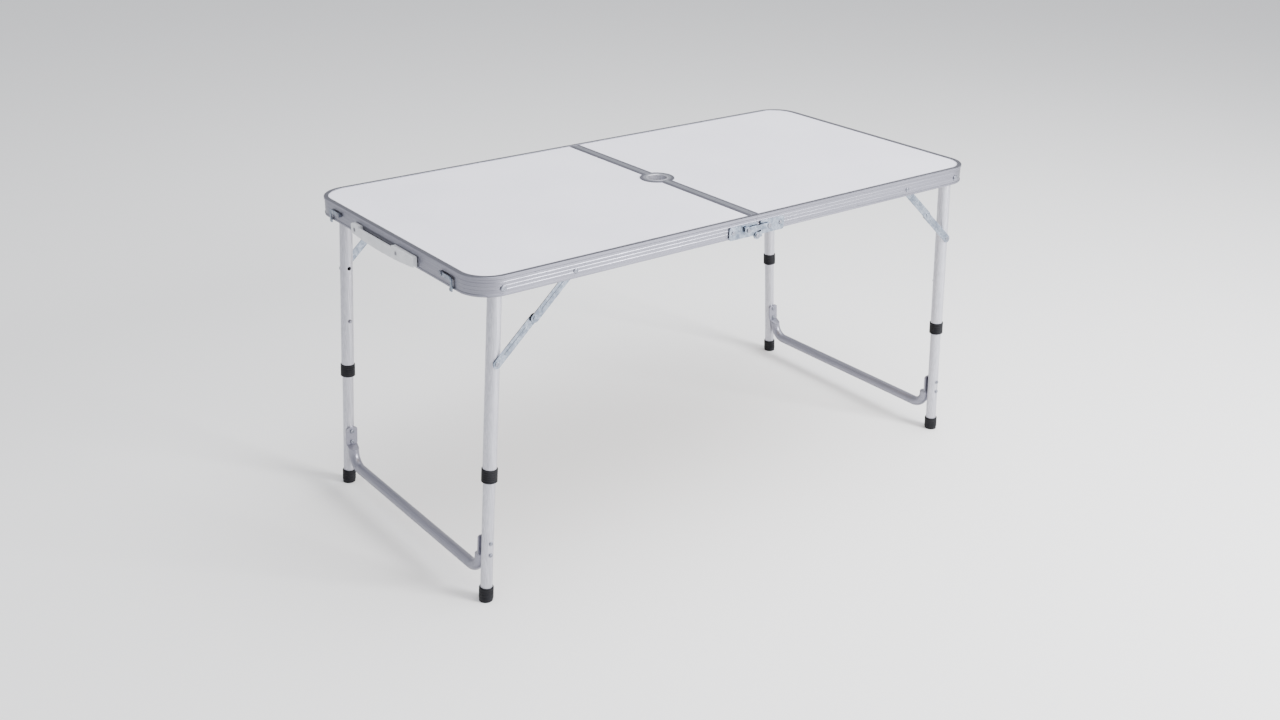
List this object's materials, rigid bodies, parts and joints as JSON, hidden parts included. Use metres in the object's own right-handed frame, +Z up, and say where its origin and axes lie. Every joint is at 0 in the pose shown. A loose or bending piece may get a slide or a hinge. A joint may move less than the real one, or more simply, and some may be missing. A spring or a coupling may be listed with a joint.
{
  "type": "folding camp kitchen table",
  "caption": "Folding aluminium camp kitchen table with a hinged laminate top, splayed telescopic legs, folding braces, umbrella hole and end carry handle.",
  "frame": {"origin": "on the floor under the centre of the open top", "axes": "+X along the top towards the end with the catches, +Y towards the back edge, +Z up"},
  "size_m": [1.218, 0.6162, 0.62],
  "materials": {
    "laminate": "smooth white melamine laminate on fibreboard",
    "rail_aluminium": "satin anodised extrusion, fine lengthwise brushing",
    "seam_aluminium": "satin anodised extrusion, slightly darker",
    "tube_aluminium": "bright drawn aluminium tube",
    "zinc_steel": "bright zinc-plated steel with a bluish cast",
    "rivet_steel": "plated steel rivet",
    "handle_plastic": "pale grey moulded plastic, satin",
    "black_plastic": "black moulded plastic, satin",
    "button_steel": "dark plated steel"
  },
  "bodies": {
    "left_half": {"left_panel": "laminate", "left_rim": "rail_aluminium", "left_seam_rail": "seam_aluminium", "left_umbrella_sleeve": "tube_aluminium", "left_rail_rivets": "rivet_steel", "left_pivot_spacers": "black_plastic", "left_front_hinge_plate": "zinc_steel", "left_back_hinge_plate": "zinc_steel", "left_hinge_rivets": "rivet_steel", "carry_handle": "handle_plastic", "handle_screws": "button_steel", "latch_pivots": "rivet_steel"},
    "right_half": {"right_panel": "laminate", "right_rim": "rail_aluminium", "right_seam_rail": "seam_aluminium", "right_umbrella_sleeve": "tube_aluminium", "right_rail_rivets": "rivet_steel", "right_pivot_spacers": "black_plastic", "right_front_hinge_plate": "zinc_steel", "right_back_hinge_plate": "zinc_steel", "right_hinge_rivets": "rivet_steel", "end_catches": "rivet_steel"},
    "front_lock_hook": {"front_lock_hook": "zinc_steel"},
    "front_end_latch": {"front_end_latch": "zinc_steel"},
    "back_lock_hook": {"back_lock_hook": "zinc_steel"},
    "back_end_latch": {"back_end_latch": "zinc_steel"},
    "left_legs": {"left_front_leg_upper": "tube_aluminium", "left_front_leg_collar": "black_plastic", "left_back_leg_upper": "tube_aluminium", "left_back_leg_collar": "black_plastic", "left_brace_leg_rivets": "rivet_steel"},
    "left_lower_legs": {"left_front_leg_lower": "tube_aluminium", "left_front_leg_foot": "black_plastic", "left_back_leg_lower": "tube_aluminium", "left_back_leg_foot": "black_plastic", "left_cross_bar": "tube_aluminium", "left_cross_bar_bolts": "rivet_steel"},
    "left_upper_links": {"left_front_brace_upper_link": "zinc_steel", "left_back_brace_upper_link": "zinc_steel"},
    "left_lower_links": {"left_front_brace_lower_link": "zinc_steel", "left_back_brace_lower_link": "zinc_steel"},
    "left_front_leg_button": {"left_front_leg_button": "button_steel"},
    "left_back_leg_button": {"left_back_leg_button": "button_steel"},
    "right_legs": {"right_front_leg_upper": "tube_aluminium", "right_front_leg_collar": "black_plastic", "right_back_leg_upper": "tube_aluminium", "right_back_leg_collar": "black_plastic", "right_brace_leg_rivets": "rivet_steel"},
    "right_lower_legs": {"right_front_leg_lower": "tube_aluminium", "right_front_leg_foot": "black_plastic", "right_back_leg_lower": "tube_aluminium", "right_back_leg_foot": "black_plastic", "right_cross_bar": "tube_aluminium", "right_cross_bar_bolts": "rivet_steel"},
    "right_upper_links": {"right_front_brace_upper_link": "zinc_steel", "right_back_brace_upper_link": "zinc_steel"},
    "right_lower_links": {"right_front_brace_lower_link": "zinc_steel", "right_back_brace_lower_link": "zinc_steel"},
    "right_front_leg_button": {"right_front_leg_button": "button_steel"},
    "right_back_leg_button": {"right_back_leg_button": "button_steel"}
  },
  "joints": [
    {"name": "centre_fold", "type": "hinge", "parent": "left_half", "child": "right_half", "pos_m": [0, 0, 0.582], "axis": [0, 1, 0], "range_deg": [0, 80]},
    {"name": "left_leg_fold", "type": "hinge", "parent": "left_half", "child": "left_legs", "pos_m": [-0.548, 0, 0.598], "axis": [0, -1, 0], "range_deg": [0, 93.8]},
    {"name": "left_leg_slide", "type": "slide", "parent": "left_legs", "child": "left_lower_legs", "axis": [0.0663, 0, 0.9978], "range_m": [0, 0.1105]},
    {"name": "left_upper_link_turn", "type": "hinge", "parent": "left_half", "child": "left_upper_links", "pos_m": [-0.405, 0, 0.598], "axis": [0, -1, 0], "range_deg": [-42.65, 0]},
    {"name": "left_lower_link_turn", "type": "hinge", "parent": "left_legs", "child": "left_lower_links", "pos_m": [-0.55715, 0, 0.4603], "axis": [0, -1, 0], "range_deg": [0, 44.55]},
    {"name": "left_front_button_press", "type": "slide", "parent": "left_legs", "child": "left_front_leg_button", "axis": [0, -1, 0], "range_m": [0, 0.003], "stiffness_N_per_m": 400},
    {"name": "left_back_button_press", "type": "slide", "parent": "left_legs", "child": "left_back_leg_button", "axis": [0, 1, 0], "range_m": [0, 0.003], "stiffness_N_per_m": 400},
    {"name": "right_leg_fold", "type": "hinge", "parent": "right_half", "child": "right_legs", "pos_m": [0.548, 0, 0.598], "axis": [0, 1, 0], "range_deg": [0, 93.8]},
    {"name": "right_leg_slide", "type": "slide", "parent": "right_legs", "child": "right_lower_legs", "axis": [-0.0663, 0, 0.9978], "range_m": [0, 0.1105]},
    {"name": "right_upper_link_turn", "type": "hinge", "parent": "right_half", "child": "right_upper_links", "pos_m": [0.405, 0, 0.598], "axis": [0, 1, 0], "range_deg": [-42.65, 0]},
    {"name": "right_lower_link_turn", "type": "hinge", "parent": "right_legs", "child": "right_lower_links", "pos_m": [0.55715, 0, 0.4603], "axis": [0, 1, 0], "range_deg": [0, 44.55]},
    {"name": "right_front_button_press", "type": "slide", "parent": "right_legs", "child": "right_front_leg_button", "axis": [0, -1, 0], "range_m": [0, 0.003], "stiffness_N_per_m": 400},
    {"name": "right_back_button_press", "type": "slide", "parent": "right_legs", "child": "right_back_leg_button", "axis": [0, 1, 0], "range_m": [0, 0.003], "stiffness_N_per_m": 400},
    {"name": "front_hook_lift", "type": "hinge", "parent": "right_half", "child": "front_lock_hook", "pos_m": [0.027, -0.305, 0.597], "axis": [0, 1, 0], "range_deg": [0, 40.5]},
    {"name": "front_latch_swing", "type": "hinge", "parent": "left_half", "child": "front_end_latch", "pos_m": [-0.602, -0.19, 0.603], "axis": [1, 0, 0], "range_deg": [0, 90]},
    {"name": "back_hook_lift", "type": "hinge", "parent": "right_half", "child": "back_lock_hook", "pos_m": [0.027, 0.305, 0.597], "axis": [0, 1, 0], "range_deg": [0, 40.5]},
    {"name": "back_latch_swing", "type": "hinge", "parent": "left_half", "child": "back_end_latch", "pos_m": [-0.602, 0.19, 0.603], "axis": [-1, 0, 0], "range_deg": [0, 90]}
  ],
  "couplings": [
    {"joint": "left_leg_slide", "follows": "left_leg_fold", "m_per_rad": 0.067191},
    {"joint": "left_upper_link_turn", "follows": "left_leg_fold", "ratio": -0.44932},
    {"joint": "left_lower_link_turn", "follows": "left_leg_fold", "ratio": 0.46966},
    {"joint": "right_leg_slide", "follows": "right_leg_fold", "m_per_rad": 0.067191},
    {"joint": "right_upper_link_turn", "follows": "right_leg_fold", "ratio": -0.44932},
    {"joint": "right_lower_link_turn", "follows": "right_leg_fold", "ratio": 0.46966},
    {"joint": "front_hook_lift", "follows": "centre_fold", "ratio": 0.5},
    {"joint": "back_hook_lift", "follows": "centre_fold", "ratio": 0.5}
  ]
}
